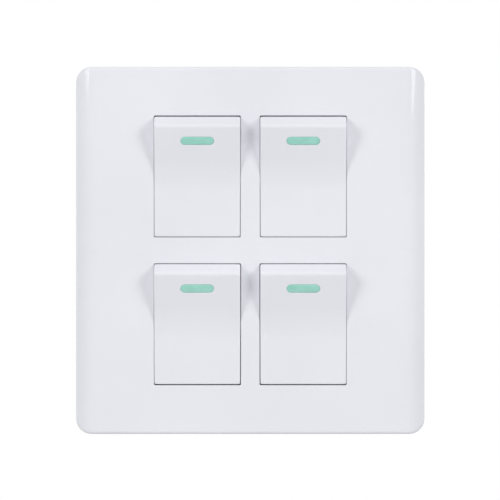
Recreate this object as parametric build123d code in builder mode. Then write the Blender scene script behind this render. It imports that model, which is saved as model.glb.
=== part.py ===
from build123d import *
import math
import os

# A flush four-gang wall switch: a snap-on cover plate, a moulded mounting frame that carries
# four rockers, and a rear housing that holds the contacts and the wire terminals.
#
# The row frame stands the switch on its wall: X runs to the right as seen from the front, Z is up,
# and the wall is the plane Y = 0. The front looks along -Y. In the profiles below "d" is the distance
# in front of the wall, so d = -Y and what lies inside the wall box has a negative d.

os.makedirs("parts", exist_ok=True)

# Cover plate, in millimetres
PLATE_W = 86.0
PLATE_H = 90.4
PLATE_CORNER = 3.8
PLATE_FRONT = 9.0
PLATE_WALL = 1.6
CROWN_R = 2500.0
CROWN_HALF = 36.0
SIDE_FRONT = 4.7
SIDE_OVER = 0.4
EDGE_R = 1.0

# Layout of the four gangs
PITCH_X = 26.1
PITCH_Z = 36.3
WINDOW_W = 21.65
WINDOW_H = 30.25

# Rocker, measured from its pivot: z along the face and h out of the wall
PIVOT_D = 5.6
ROCKER_W = 21.05
ROCKER_HALF = 14.65
FACE_BOTTOM_H = 3.1
VALLEY_Z = 0.4
VALLEY_H = 3.3
CREST_Z = 12.0
CREST_H = 7.2
FACE_TOP_H = 3.45
VALLEY_R = 26.0
CREST_R = 1.2
ROCKER_WALL = 1.4
SIDE_BEVEL = 0.3
SKIRT_BOTTOM_H = -3.0
SKIRT_TOP_H = -0.6
SKIRT_DRAFT = 0.25
REST_TILT = 5.0
RIB_Z = 8.0
RIB_T = 1.0
TRUNNION_R = 1.1
TRUNNION_LEN = 1.3
BEARING_R = 1.15
MOUTH_W = 1.8

# Indicator insert in the sloping part of the rocker
INDICATOR_W = 8.2
INDICATOR_H = 2.05
INDICATOR_Z = 8.75
INDICATOR_SEAT = 0.9
INDICATOR_PROUD = 0.1
FLANGE_LIP = 0.5
FLANGE_T = 0.6

# Plunger, spring and the boss that guides them
BOSS_R = 2.6
BOSS_END = 6.4
BORE_R = 1.55
BORE_TOP = 1.2
PLUNGER_R = 1.5
PLUNGER_TIP = 9.7
PLUNGER_BACK = 3.6
PLUNGER_NOSE = 0.9
PLUNGER_TAPER = 45.0
SPRING_WIRE = 0.26
SPRING_R = 1.1
SPRING_TURNS = 3
SPRING_SIDES = 6

# Seesaw contact bridge, measured from its fulcrum: u along the arm and w towards the front
FULCRUM_D = -5.5
SEESAW_TILT = 7.5
BRIDGE_W = 5.0
BRIDGE_T = 0.8
BRIDGE_SEAT = 1.28
CRADLE_R = 3.0
CRADLE_HALF = 2.2
ARM_TOP = 12.0
ARM_BOTTOM = 7.5
GROOVE_R = 0.66
KNIFE_R = 0.5
CONTACT_U = 10.0
CONTACT_R = 1.6
CONTACT_HEAD = 0.8
CONTACT_BEVEL = 0.3
CONTACT_GAP = 0.06

# Terminals
STRIP_T = 0.8
STRIP_TOP = -8.5
TERMINAL_X = 7.35
TERMINAL_Z = 9.0
PILLAR = 6.0
PILLAR_END = -17.0
WIRE_D = -13.0
WIRE_R = 1.75
SCREW_R = 1.5
SCREW_TIP = -15.0
SCREW_HEAD_R = 2.3
SCREW_HEAD_T = 2.0
DRIVE_W = 0.8
STRIP_W = 4.0
SEAT_W = 7.0
EAR_X = 2.7
EAR_TOP = -4.6

# Mounting frame
FRAME_W = 81.0
FRAME_H = 85.0
FRAME_CORNER = 3.0
BASE_T = 2.0
RIM_T = 1.4
RIM_TOP = 4.0
WELL_W = 21.7
WELL_H = 30.4
WELL_WALL = 1.4
WELL_TOP = 7.0
SLOT_X = 30.15
SLOT_W = 4.0
SLOT_L = 7.0
FRAME_RECESS = 0.4
BASE_HOLE_W = 6.4
BASE_HOLE_H = 7.6

# Rear housing and its two screws
HOUSING_W = 50.0
HOUSING_H = 70.0
HOUSING_CORNER = 2.5
HOUSING_END = -20.0
HOUSING_WALL = 1.5
JOIN_X = 13.05
JOIN_HEAD_D = -14.0
JOIN_TIP_D = 5.6
JOIN_R = 1.35
JOIN_HEAD_R = 2.6
JOIN_HEAD_T = 1.9
TUBE_R = 2.75
POST_W = 2.0

# Snap catches between the cover and the frame, and the notch that pries the cover off
NOTCH_W = 8.0
NOTCH_D = 1.2
CATCH_X = 25.0
CATCH_W = 8.0
CATCH_REACH = 0.7
RIDGE_REACH = 0.65
CATCH_D = 2.2

# Small round details inside and the screws are drawn with this many flats
FLATS = 8

GANGS = {
    "top_left": (-PITCH_X / 2, PITCH_Z / 2),
    "top_right": (PITCH_X / 2, PITCH_Z / 2),
    "bottom_left": (-PITCH_X / 2, -PITCH_Z / 2),
    "bottom_right": (PITCH_X / 2, -PITCH_Z / 2),
}

# Plan sections hold (x, d), side sections hold (z, d)
PLAN = Plane(origin=(0, 0, 0), x_dir=(1, 0, 0), z_dir=(0, 0, -1))
SIDE = Plane(origin=(0, 0, 0), x_dir=(0, 0, 1), z_dir=(1, 0, 0))


def front(d):
    """The plane at distance d in front of the wall, seen from the front."""
    return Plane.XZ.offset(d)


def rear(d):
    """The same plane seen from inside the wall box, for what grows rearwards."""
    return Plane(origin=(0, -d, 0), x_dir=(-1, 0, 0), z_dir=(0, 1, 0))


def tilted_side(z, d, angle):
    """A side section about the point (z, d), turned so that its upper end leans into the wall."""
    turn = math.radians(angle)
    upward = (0, math.sin(turn), math.cos(turn))
    return Plane(origin=(0, -d, z), x_dir=upward, z_dir=(1, 0, 0))


def save(piece, node):
    piece.part.label = node
    export_step(piece.part, f"parts/{node}.step")


def save_in_gang(piece, node, gang, handed=False):
    """Copies a piece from the gang's own centre to its place, mirrored in the left column if handed."""
    x, z = GANGS[gang]
    body = mirror(piece.part, about=Plane.YZ) if handed and x < 0 else piece.part
    with BuildPart() as placed:
        with Locations((x, 0, z)):
            add(body)
    save(placed, f"{gang}_{node}")


def four_catches(profile, width):
    """One catch profile at both catch places, on the upper and the lower side."""
    with BuildPart() as catches:
        for x in (-CATCH_X, CATCH_X):
            with BuildSketch(SIDE.offset(x - width / 2)):
                with BuildLine():
                    Polyline(*profile, close=True)
                make_face()
            extrude(amount=width)
        mirror(about=Plane.XY)
    return catches.part


def cover_section(inset, half, floor):
    """Plan section of the cover under its front by inset: a crowned front bent back at both sides."""
    crown_drop = CROWN_R - math.sqrt(CROWN_R ** 2 - CROWN_HALF ** 2)
    top = PLATE_FRONT - inset
    with BuildSketch() as section:
        with BuildLine():
            crown = ThreePointArc((-CROWN_HALF, top - crown_drop), (0, top), (CROWN_HALF, top - crown_drop))
            right = TangentArc((CROWN_HALF, top - crown_drop), (half, SIDE_FRONT), tangent=crown % 1)
            left = TangentArc((-CROWN_HALF, top - crown_drop), (-half, SIDE_FRONT), tangent=-(crown % 0))
            Polyline(right @ 1, (half, floor), (-half, floor), left @ 1)
        make_face()
    return section.sketch


def cover_plate():
    """One moulded shell with four windows, stiffening ribs, snap hooks and a pry notch."""
    with BuildPart() as cover:
        # Crowned front bent back at both sides, cut to the rounded outline
        with BuildSketch(PLAN.offset(-PLATE_H / 2 - 1)):
            add(cover_section(0, PLATE_W / 2 + SIDE_OVER, -2))
        extrude(amount=PLATE_H + 2)
        with BuildSketch(front(0)):
            RectangleRounded(PLATE_W, PLATE_H, PLATE_CORNER)
        extrude(amount=PLATE_FRONT + 1, mode=Mode.INTERSECT)

        # Rounded upper and lower front edges
        with BuildSketch(SIDE.offset(-PLATE_W / 2 - 1)):
            RectangleRounded(PLATE_H, 2 * PLATE_FRONT, EDGE_R)
        extrude(amount=PLATE_W + 2, mode=Mode.INTERSECT)

        # Hollow inside
        inner_h = PLATE_H - 2 * PLATE_WALL
        with BuildSketch(PLAN.offset(-inner_h / 2)):
            add(cover_section(PLATE_WALL, PLATE_W / 2 - PLATE_WALL, -1))
        extrude(amount=inner_h, mode=Mode.SUBTRACT)

        # Windows for the four rockers
        with BuildSketch(front(0)):
            with GridLocations(PITCH_X, PITCH_Z, 2, 2):
                Rectangle(WINDOW_W, WINDOW_H)
        extrude(amount=PLATE_FRONT + 1, mode=Mode.SUBTRACT)

        # Ribs from the side walls towards the windows
        rib_in = PITCH_X / 2 + WELL_W / 2 + 3
        rib_out = FRAME_W / 2 - RIM_T - 1
        with BuildSketch(front(RIM_TOP + 0.4)):
            for side in (-1, 1):
                with Locations((side * (rib_in + rib_out) / 2, 0)):
                    with GridLocations(1, PITCH_Z / 2, 1, 3):
                        Rectangle(rib_out - rib_in, 1.2)
        extrude(until=Until.NEXT)

        # Snap hooks on the top and bottom walls
        inner_z = PLATE_H / 2 - PLATE_WALL
        hook = (
            (inner_z + 0.2, CATCH_D),
            (inner_z - CATCH_REACH, CATCH_D),
            (inner_z - CATCH_REACH, CATCH_D - 0.4),
            (inner_z + 0.2, CATCH_D - 1.7),
        )
        add(four_catches(hook, CATCH_W))

        # Pry notch in the lower edge
        with BuildSketch(front(0)):
            with Locations((0, -PLATE_H / 2 + PLATE_WALL / 2)):
                Rectangle(NOTCH_W, PLATE_WALL + 1)
        extrude(amount=NOTCH_D, mode=Mode.SUBTRACT)
    save(cover, "cover_plate")


def mounting_frame():
    """The moulded frame: base plate, rim with catches, four rocker wells, fixing slots."""
    well_block_w = PITCH_X + WELL_W + 2 * WELL_WALL
    well_block_h = PITCH_Z + WELL_H + 2 * WELL_WALL
    with BuildPart() as frame:
        with BuildSketch(front(0)):
            RectangleRounded(FRAME_W, FRAME_H, FRAME_CORNER)
        extrude(amount=BASE_T)

        # Rim around the base
        with BuildSketch(front(BASE_T)):
            RectangleRounded(FRAME_W, FRAME_H, FRAME_CORNER)
            Rectangle(FRAME_W - 2 * RIM_T, FRAME_H - 2 * RIM_T, mode=Mode.SUBTRACT)
        extrude(amount=RIM_TOP - BASE_T)

        # Catch ridges that the cover's hooks snap behind
        edge_z = FRAME_H / 2
        ridge = (
            (edge_z - 0.2, CATCH_D + 0.1),
            (edge_z + RIDGE_REACH, CATCH_D + 0.1),
            (edge_z + RIDGE_REACH, CATCH_D + 0.5),
            (edge_z - 0.2, CATCH_D + 1.9),
        )
        add(four_catches(ridge, CATCH_W + 2))

        # Walls of the four wells, hollow between the rows and between the columns
        with BuildSketch(front(BASE_T)):
            Rectangle(well_block_w, well_block_h)
            with GridLocations(PITCH_X, PITCH_Z, 2, 2):
                Rectangle(WELL_W, WELL_H, mode=Mode.SUBTRACT)
            Rectangle(PITCH_X - WELL_W - 2 * WELL_WALL, well_block_h - 2 * WELL_WALL, mode=Mode.SUBTRACT)
            Rectangle(well_block_w - 2 * WELL_WALL, PITCH_Z - WELL_H - 2 * WELL_WALL, mode=Mode.SUBTRACT)
            with GridLocations(2 * JOIN_X, 1, 2, 1):
                RegularPolygon(TUBE_R, FLATS)
        extrude(amount=WELL_TOP - BASE_T)

        # Snap-in bearings for the rocker trunnions
        with BuildSketch(SIDE.offset(-well_block_w / 2)):
            for z in (-PITCH_Z / 2, PITCH_Z / 2):
                with Locations((z, PIVOT_D)):
                    RegularPolygon(BEARING_R, FLATS, major_radius=False)
                with Locations((z, WELL_TOP)):
                    Rectangle(MOUTH_W, 2 * (WELL_TOP - PIVOT_D))
        extrude(amount=well_block_w, mode=Mode.SUBTRACT)

        # Openings in the base for the rockers' bosses
        with BuildSketch(front(0)):
            with GridLocations(PITCH_X, PITCH_Z, 2, 2):
                Rectangle(BASE_HOLE_W, BASE_HOLE_H)
        extrude(amount=BASE_T, mode=Mode.SUBTRACT)

        # Raised pads and the two fixing slots
        with BuildSketch(front(BASE_T)):
            with GridLocations(2 * SLOT_X, 1, 2, 1):
                Rectangle(SLOT_L + 1.6, SLOT_W + 4.5)
        extrude(amount=1)
        with BuildSketch(front(0)):
            with GridLocations(2 * SLOT_X, 1, 2, 1):
                SlotOverall(SLOT_L, SLOT_W)
        extrude(amount=BASE_T + 1, mode=Mode.SUBTRACT)

        # Stiffening webs between the wells and the rim
        web_in = well_block_w / 2
        web_out = FRAME_W / 2 - RIM_T
        with BuildSketch(front(BASE_T)):
            for side in (-1, 1):
                with Locations((side * (web_in + web_out) / 2, 0)):
                    with GridLocations(1, PITCH_Z, 1, 2):
                        Rectangle(web_out - web_in, 1.2)
        extrude(amount=1.5)

        # Shallow recess that locates the housing, and its screw pilots
        with BuildSketch(front(0)):
            Rectangle(HOUSING_W + 0.6, HOUSING_H + 0.6)
        extrude(amount=FRAME_RECESS, mode=Mode.SUBTRACT)
        with BuildSketch(front(0)):
            with GridLocations(2 * JOIN_X, 1, 2, 1):
                RegularPolygon(JOIN_R + 0.05, FLATS)
        extrude(amount=JOIN_TIP_D + 0.4, mode=Mode.SUBTRACT)

        # Posts that hold the terminals down in the housing
        with BuildSketch(rear(BASE_T)):
            for x, z in GANGS.values():
                out = x + math.copysign(TERMINAL_X + 1, x)
                with Locations((-out, z - TERMINAL_Z), (-out, z + TERMINAL_Z)):
                    Rectangle(POST_W, POST_W)
        extrude(amount=BASE_T - STRIP_TOP - 0.05)
    save(frame, "mounting_frame")


def rear_housing():
    """The deep box inside the wall: four contact chambers with shelves, wire holes and screw access."""
    top = FRAME_RECESS
    outer_x = HOUSING_W / 2 - HOUSING_WALL
    outer_z = HOUSING_H / 2 - HOUSING_WALL
    mid_wall = 0.8
    chamber_w = outer_x - mid_wall
    chamber_h = outer_z - mid_wall
    floor = HOUSING_END + HOUSING_WALL
    shelf_top = STRIP_TOP - STRIP_T
    pillar_x = PITCH_X / 2 + TERMINAL_X
    with BuildPart() as housing:
        with BuildSketch(rear(top)):
            RectangleRounded(HOUSING_W, HOUSING_H, HOUSING_CORNER)
        extrude(amount=top - HOUSING_END)
        back = housing.faces().sort_by(Axis.Y)[-1]
        chamfer(back.edges(), 0.6)

        # Four chambers, open towards the frame
        with BuildSketch(front(floor)):
            with GridLocations(outer_x + mid_wall, outer_z + mid_wall, 2, 2):
                Rectangle(chamber_w, chamber_h)
        extrude(amount=top - floor, mode=Mode.SUBTRACT)

        # Shelves under the contact strips, and ribs that box in the pillars
        with BuildSketch(front(floor)):
            for x, z in GANGS.values():
                side = math.copysign(1, x)
                for end in (-1, 1):
                    with Locations((side * (mid_wall + 0.2 + chamber_w / 2 - 4), z + end * TERMINAL_Z)):
                        Rectangle(chamber_w - 8.4, 1.6)
        extrude(amount=shelf_top - floor)
        with BuildSketch(front(floor)):
            for x, z in GANGS.values():
                with Locations((x, z)):
                    Rectangle(1.6, 2 * TERMINAL_Z)
        extrude(amount=shelf_top - floor)

        # Pockets that grip the pillars
        with BuildSketch(front(floor)):
            for x, z in GANGS.values():
                side = math.copysign(1, x)
                pocket_in = PITCH_X / 2 + TERMINAL_X - PILLAR / 2
                for end in (-1, 1):
                    with Locations((side * (pocket_in + outer_x) / 2, z + end * TERMINAL_Z)):
                        with GridLocations(1, PILLAR + 1.4, 1, 2):
                            Rectangle(outer_x - pocket_in, 1.2)
        extrude(amount=shelf_top - 1 - floor)

        # Tubes for the two screws that hold the frame
        with BuildSketch(front(floor)):
            with GridLocations(2 * JOIN_X, 1, 2, 1):
                RegularPolygon(TUBE_R + 0.9, FLATS)
        extrude(amount=top - floor)
        with BuildSketch(rear(top)):
            with GridLocations(2 * JOIN_X, 1, 2, 1):
                RegularPolygon(JOIN_R + 0.2, FLATS)
        extrude(amount=top - HOUSING_END, mode=Mode.SUBTRACT)
        with BuildSketch(rear(JOIN_HEAD_D)):
            with GridLocations(2 * JOIN_X, 1, 2, 1):
                RegularPolygon(JOIN_HEAD_R + 0.2, FLATS)
        extrude(amount=JOIN_HEAD_D - HOUSING_END, mode=Mode.SUBTRACT)

        # Access holes to the terminal screws
        with BuildSketch(front(HOUSING_END)):
            for x in (-pillar_x, pillar_x):
                for z in (-PITCH_Z / 2, PITCH_Z / 2):
                    with Locations((x, z - TERMINAL_Z), (x, z + TERMINAL_Z)):
                        RegularPolygon(SCREW_HEAD_R + 0.3, FLATS)
        extrude(amount=HOUSING_WALL, mode=Mode.SUBTRACT)

        # Wire holes through both side walls, in line with the pillars
        for wall_x in (-HOUSING_W / 2, outer_x):
            with BuildSketch(Plane.YZ.offset(wall_x)):
                for z in (-PITCH_Z / 2, PITCH_Z / 2):
                    with Locations((-WIRE_D, z - TERMINAL_Z), (-WIRE_D, z + TERMINAL_Z)):
                        RegularPolygon(WIRE_R + 0.5, FLATS)
            extrude(amount=HOUSING_WALL, mode=Mode.SUBTRACT)
    save(housing, "rear_housing")


def housing_screws():
    """Two pan-head screws that pull the housing up against the frame."""
    grid = GridLocations(2 * JOIN_X, 1, 2, 1)
    with BuildPart() as screws:
        with BuildSketch(front(JOIN_HEAD_D)):
            with grid:
                RegularPolygon(JOIN_R, FLATS)
        extrude(amount=JOIN_TIP_D - JOIN_HEAD_D)
        tips = screws.faces().group_by(Axis.Y)[0]
        chamfer(tips.edges(), JOIN_R * 0.4)
        with BuildSketch(rear(JOIN_HEAD_D)):
            with grid:
                RegularPolygon(JOIN_HEAD_R, FLATS)
        extrude(amount=JOIN_HEAD_T)
        with BuildSketch(rear(JOIN_HEAD_D - JOIN_HEAD_T + 1)):
            with grid:
                Rectangle(2 * JOIN_HEAD_R + 1, DRIVE_W)
        extrude(amount=1, mode=Mode.SUBTRACT)
    save(screws, "housing_screws")


def rocker_outline(inset):
    """Side face of the rocker at rest, lower half flush and crest standing out, or of its hollow."""
    half = ROCKER_HALF - inset
    skirt = half - SKIRT_DRAFT
    face = (
        (-half, FACE_BOTTOM_H - inset),
        (VALLEY_Z, VALLEY_H - inset),
        (CREST_Z - inset * 0.5, CREST_H - inset * 1.3),
        (half, FACE_TOP_H - inset * 0.5),
    )
    with BuildSketch() as outline:
        with BuildLine():
            if inset:
                Polyline(*face)
            else:
                FilletPolyline(*face, radius=(VALLEY_R, CREST_R))
            Polyline(
                (half, FACE_TOP_H - inset * 0.5),
                (skirt, SKIRT_TOP_H - inset),
                (-skirt, SKIRT_BOTTOM_H - inset),
                (-half, FACE_BOTTOM_H - inset),
            )
        make_face()
    return outline.sketch


def rocker_side(x):
    """The side section of the rocker at distance x from its middle, measured from the pivot."""
    return Plane(origin=(x, -PIVOT_D, 0), x_dir=(0, 0, 1), z_dir=(1, 0, 0))


def indicator_plane():
    """The plane of the rocker's sloping face at the indicator, with x to the right."""
    slope = math.atan2(CREST_H - VALLEY_H, CREST_Z - VALLEY_Z)
    face_h = VALLEY_H + (INDICATOR_Z - VALLEY_Z) * math.tan(slope)
    normal = (0, -math.cos(slope), -math.sin(slope))
    return Plane(origin=(0, -PIVOT_D - face_h, INDICATOR_Z), x_dir=(1, 0, 0), z_dir=normal)


def boss_plane(reach):
    """A plane across the plunger's axis, reach behind the pivot, facing the rear."""
    tilt = math.radians(REST_TILT)
    axis = (0, math.cos(tilt), math.sin(tilt))
    origin = (0, -PIVOT_D + reach * axis[1], reach * axis[2])
    return Plane(origin=origin, x_dir=(1, 0, 0), z_dir=axis)


def rockers():
    """Hollow rocker with side trunnions, cross ribs, a spring boss and a slot for the indicator."""
    half_w = ROCKER_W / 2
    inner_w = half_w - ROCKER_WALL
    with BuildPart() as rocker:
        with BuildSketch(rocker_side(-half_w)):
            add(rocker_outline(0))
        extrude(amount=ROCKER_W)
        face_edges = rocker.edges().filter_by(lambda e: e.center().Y < -PIVOT_D - FACE_BOTTOM_H + 0.4)
        chamfer(face_edges.filter_by(lambda e: abs(abs(e.center().X) - half_w) < 0.01), SIDE_BEVEL)

        # Hollow inside, leaving two ribs across the shell
        with BuildSketch(rocker_side(-inner_w)):
            add(rocker_outline(ROCKER_WALL))
            with Locations((-RIB_Z, CREST_H / 2), (RIB_Z, CREST_H / 2)):
                Rectangle(RIB_T, CREST_H + 1, mode=Mode.SUBTRACT)
        extrude(amount=2 * inner_w, mode=Mode.SUBTRACT)

        # Trunnions
        for side in (-1, 1):
            with BuildSketch(rocker_side(side * (half_w - 0.2))):
                RegularPolygon(TRUNNION_R, FLATS)
            extrude(amount=side * (TRUNNION_LEN + 0.2))

        # Boss for the spring and the plunger
        with BuildSketch(boss_plane(-VALLEY_H + 0.5)):
            RegularPolygon(BOSS_R, FLATS)
        extrude(amount=VALLEY_H - 0.5 + BOSS_END)
        with BuildSketch(boss_plane(-BORE_TOP)):
            RegularPolygon(BORE_R, FLATS)
        extrude(amount=BORE_TOP + BOSS_END, mode=Mode.SUBTRACT)

        # Window of the indicator, with a pocket for its flange underneath
        with BuildSketch(indicator_plane().offset(-INDICATOR_SEAT)):
            SlotOverall(INDICATOR_W, INDICATOR_H)
        extrude(amount=2 * INDICATOR_SEAT, mode=Mode.SUBTRACT)
        with BuildSketch(indicator_plane().offset(-INDICATOR_SEAT)):
            Rectangle(INDICATOR_W + 2 * FLANGE_LIP, INDICATOR_H + 2 * FLANGE_LIP)
        extrude(amount=-2, mode=Mode.SUBTRACT)
    for gang in GANGS:
        save_in_gang(rocker, "rocker", gang)


def indicators():
    """Pale insert in the rocker's sloping face, pushed in from behind and held by its flange."""
    seat = indicator_plane().offset(-INDICATOR_SEAT)
    with BuildPart() as indicator:
        with BuildSketch(seat):
            SlotOverall(INDICATOR_W, INDICATOR_H)
        extrude(amount=INDICATOR_SEAT + INDICATOR_PROUD)
        with BuildSketch(seat.offset(-FLANGE_T)):
            Rectangle(INDICATOR_W + 2 * FLANGE_LIP, INDICATOR_H + 2 * FLANGE_LIP)
        extrude(amount=FLANGE_T)
    for gang in GANGS:
        save_in_gang(indicator, "indicator", gang)


def springs():
    """Compression spring between the bottom of the rocker's bore and the plunger."""
    base = boss_plane(-BORE_TOP + SPRING_WIRE * 1.1)
    length = BORE_TOP + PLUNGER_BACK - 2.2 * SPRING_WIRE
    steps = SPRING_TURNS * SPRING_SIDES
    coil = []
    for step in range(steps + 1):
        turn = 2 * math.pi * step / SPRING_SIDES
        local = (SPRING_R * math.cos(turn), SPRING_R * math.sin(turn), length * step / steps)
        coil.append(base.from_local_coords(local))
    with BuildPart() as spring:
        with BuildLine() as wire:
            Polyline(*coil)
        with BuildSketch(Plane(origin=wire.line @ 0, z_dir=wire.line % 0)):
            RegularPolygon(SPRING_WIRE, 4)
        sweep(path=wire.line, transition=Transition.RIGHT)
    for gang in GANGS:
        save_in_gang(spring, "spring", gang)


def plungers():
    """Round-nosed plunger that slides in the rocker's boss."""
    with BuildPart() as plunger:
        with BuildSketch(boss_plane(PLUNGER_BACK)):
            RegularPolygon(PLUNGER_R, FLATS)
        extrude(amount=PLUNGER_TIP - PLUNGER_BACK - PLUNGER_NOSE)
        with BuildSketch(boss_plane(PLUNGER_TIP - PLUNGER_NOSE)):
            RegularPolygon(PLUNGER_R, FLATS)
        extrude(amount=PLUNGER_NOSE, taper=PLUNGER_TAPER)
    for gang in GANGS:
        save_in_gang(plunger, "plunger", gang)


def bridge_plane():
    """Side section of the contact bridge at rest, its upper end leaning towards the fixed contact."""
    return tilted_side(0, FULCRUM_D, SEESAW_TILT)


def bridges():
    """Brass seesaw: a cradle for the plunger above, a groove for the fulcrum below, two arms."""
    lip = BRIDGE_SEAT + CRADLE_R - math.sqrt(CRADLE_R ** 2 - CRADLE_HALF ** 2)
    flank = CRADLE_HALF + 0.5
    with BuildPart() as bridge:
        with BuildSketch(bridge_plane().offset(-BRIDGE_W / 2)):
            with BuildLine():
                ThreePointArc((-CRADLE_HALF, lip), (0, BRIDGE_SEAT), (CRADLE_HALF, lip))
                Polyline(
                    (CRADLE_HALF, lip),
                    (flank, lip),
                    (flank + 1, BRIDGE_T),
                    (ARM_TOP, BRIDGE_T),
                    (ARM_TOP, 0),
                    (-ARM_BOTTOM, 0),
                    (-ARM_BOTTOM, BRIDGE_T),
                    (-flank - 1, BRIDGE_T),
                    (-flank, lip),
                    (-CRADLE_HALF, lip),
                )
            make_face()
            RegularPolygon(GROOVE_R, 6, mode=Mode.SUBTRACT)
        extrude(amount=BRIDGE_W)
    for gang in GANGS:
        save_in_gang(bridge, "bridge", gang)


def contact_plane():
    """The rear face of the bridge at its contact, seen from the front."""
    arm = bridge_plane()
    return Plane(origin=arm.from_local_coords((CONTACT_U, 0, 0)), x_dir=(1, 0, 0), z_dir=arm.y_dir)


def moving_contacts():
    """Contact tip brazed under the upper end of the bridge."""
    with BuildPart() as contact:
        with BuildSketch(contact_plane()):
            RegularPolygon(CONTACT_R, FLATS)
        extrude(amount=-(CONTACT_HEAD - CONTACT_BEVEL))
        with BuildSketch(contact_plane().offset(CONTACT_BEVEL - CONTACT_HEAD)):
            RegularPolygon(CONTACT_R, FLATS)
        extrude(amount=-CONTACT_BEVEL, taper=45)
    for gang in GANGS:
        save_in_gang(contact, "moving_contact", gang)


def fixed_contact_place():
    """Height, front face of the fixed contact: just behind the lowest edge of the moving one."""
    lean = math.radians(SEESAW_TILT)
    reach = CONTACT_U + CONTACT_R - CONTACT_BEVEL
    z = CONTACT_U * math.cos(lean)
    d = FULCRUM_D - reach * math.sin(lean) - CONTACT_HEAD * math.cos(lean) - CONTACT_GAP
    return z, d


def fixed_contacts():
    """Flat contact tip brazed on the switched terminal's strip."""
    z, face = fixed_contact_place()
    with BuildPart() as contact:
        with BuildSketch(front(STRIP_TOP)):
            with Locations((0, z)):
                RegularPolygon(CONTACT_R, FLATS)
        extrude(amount=face - STRIP_TOP)
    for gang in GANGS:
        save_in_gang(contact, "fixed_contact", gang)


def pillar(z):
    """Clamp block for one wire: open along X for the wire, tapped from the rear for the screw."""
    with BuildPart() as block:
        with BuildSketch(front(PILLAR_END)):
            with Locations((TERMINAL_X, z)):
                Rectangle(PILLAR, PILLAR)
        extrude(amount=STRIP_TOP - STRIP_T - PILLAR_END)
        with BuildSketch(Plane.YZ):
            with Locations((-WIRE_D, z)):
                Circle(WIRE_R)
        extrude(amount=TERMINAL_X + PILLAR, mode=Mode.SUBTRACT)
        with BuildSketch(front(PILLAR_END)):
            with Locations((TERMINAL_X, z)):
                RegularPolygon(SCREW_R, FLATS)
        extrude(amount=WIRE_D - PILLAR_END, mode=Mode.SUBTRACT)
    return block


def common_terminals():
    """Strip, pillar and the upright whose rounded edge carries the bridge between two ears."""
    wire_end = TERMINAL_X + PILLAR / 2
    with BuildPart() as terminal:
        add(pillar(-TERMINAL_Z).part)
        with BuildSketch(front(STRIP_TOP - STRIP_T)):
            with Locations(((wire_end - SEAT_W / 2) / 2, -TERMINAL_Z)):
                Rectangle(wire_end + SEAT_W / 2, STRIP_W)
            stem = TERMINAL_Z + STRIP_W / 2 + KNIFE_R
            with Locations((0, KNIFE_R - stem / 2)):
                Rectangle(SEAT_W, stem)
        extrude(amount=STRIP_T)
        with BuildSketch(SIDE.offset(-SEAT_W / 2)):
            with Locations((0, (STRIP_TOP + FULCRUM_D) / 2)):
                Rectangle(2 * KNIFE_R, FULCRUM_D - STRIP_TOP)
            with Locations((0, FULCRUM_D)):
                RegularPolygon(KNIFE_R, 6)
        extrude(amount=SEAT_W)
        with BuildSketch(front(FULCRUM_D)):
            for side in (-1, 1):
                with Locations((side * (EAR_X + SEAT_W / 2) / 2, 0)):
                    Rectangle(SEAT_W / 2 - EAR_X, 2 * KNIFE_R)
        extrude(amount=EAR_TOP - FULCRUM_D)
    for gang in GANGS:
        save_in_gang(terminal, "common_terminal", gang, handed=True)


def switched_terminals():
    """Strip under the fixed contact, with its pillar."""
    contact_z, face = fixed_contact_place()
    wire_end = TERMINAL_X + PILLAR / 2
    inner_end = -CONTACT_R - 0.8
    with BuildPart() as terminal:
        add(pillar(TERMINAL_Z).part)
        with BuildSketch(front(STRIP_TOP - STRIP_T)):
            with Locations(((wire_end + inner_end) / 2, contact_z - 0.4)):
                Rectangle(wire_end - inner_end, STRIP_W + 0.4)
        extrude(amount=STRIP_T)
    for gang in GANGS:
        save_in_gang(terminal, "switched_terminal", gang, handed=True)


def terminal_screws():
    """Eight slotted clamp screws, backed off so that the wire holes are clear."""
    places = []
    for x, z in GANGS.values():
        out = x + math.copysign(TERMINAL_X, x)
        places += [(out, z - TERMINAL_Z), (out, z + TERMINAL_Z)]
    head = PILLAR_END - 0.3
    with BuildPart() as screws:
        with BuildSketch(front(head)):
            with Locations(*places):
                RegularPolygon(SCREW_R, FLATS)
        extrude(amount=SCREW_TIP - head)
        with BuildSketch(rear(head)):
            with Locations(*[(-x, z) for x, z in places]):
                RegularPolygon(SCREW_HEAD_R, FLATS)
        extrude(amount=SCREW_HEAD_T)
        with BuildSketch(rear(head - SCREW_HEAD_T + 0.9)):
            with Locations(*[(-x, z) for x, z in places]):
                Rectangle(2 * SCREW_HEAD_R + 1, DRIVE_W)
        extrude(amount=1, mode=Mode.SUBTRACT)
    save(screws, "terminal_screws")


cover_plate()
mounting_frame()
rear_housing()
housing_screws()
rockers()
indicators()
springs()
plungers()
bridges()
moving_contacts()
fixed_contacts()
common_terminals()
switched_terminals()
terminal_screws()
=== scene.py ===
import math

import bmesh
import bpy
import numpy as np
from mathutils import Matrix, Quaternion, Vector


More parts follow.
